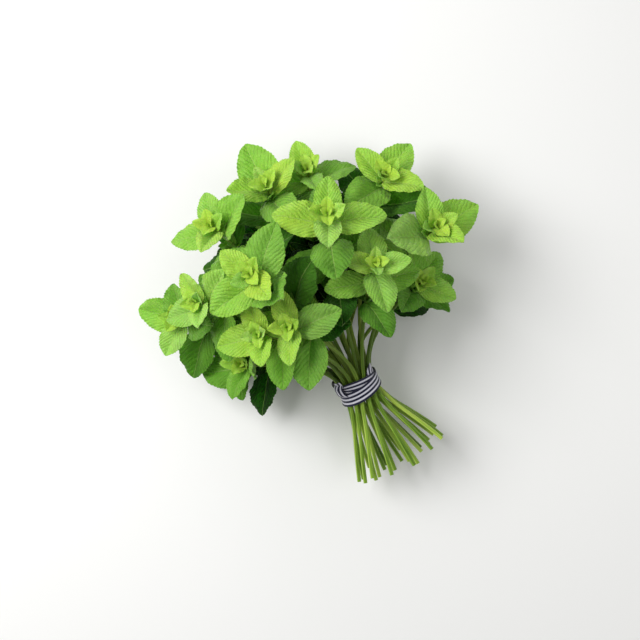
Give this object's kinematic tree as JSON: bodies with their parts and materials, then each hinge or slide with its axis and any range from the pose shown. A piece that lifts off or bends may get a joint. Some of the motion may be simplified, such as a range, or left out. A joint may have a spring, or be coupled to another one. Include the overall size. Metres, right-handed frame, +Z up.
{
  "type": "mint bunch",
  "caption": "Fresh mint sprigs gathered in a loose dome of serrated leaves, bare stems tied with a striped ribbon, lying down.",
  "frame": {"origin": "on the surface that the bunch lies on, below the middle of its box", "axes": "+Y from the cut ends of the stems to the leafy heads, +Z up from the surface, +X to the right of the bunch seen from above with the heads away"},
  "size_m": [0.2774, 0.2908, 0.1496],
  "materials": {
    "mint sprig": "matte",
    "ribbon": "matte"
  },
  "bodies": {
    "root": {"sprig_01": "mint sprig", "sprig_02": "mint sprig", "sprig_03": "mint sprig", "sprig_04": "mint sprig", "sprig_05": "mint sprig", "sprig_06": "mint sprig", "sprig_07": "mint sprig", "sprig_08": "mint sprig", "sprig_09": "mint sprig", "sprig_10": "mint sprig", "sprig_11": "mint sprig", "sprig_12": "mint sprig", "sprig_13": "mint sprig", "sprig_14": "mint sprig", "sprig_15": "mint sprig", "sprig_16": "mint sprig", "sprig_17": "mint sprig", "sprig_18": "mint sprig", "sprig_19": "mint sprig", "sprig_20": "mint sprig", "sprig_21": "mint sprig", "sprig_22": "mint sprig", "sprig_23": "mint sprig", "sprig_24": "mint sprig", "sprig_25": "mint sprig", "sprig_26": "mint sprig", "sprig_27": "mint sprig", "tie_ribbon": "ribbon"}
  },
  "joints": []
}
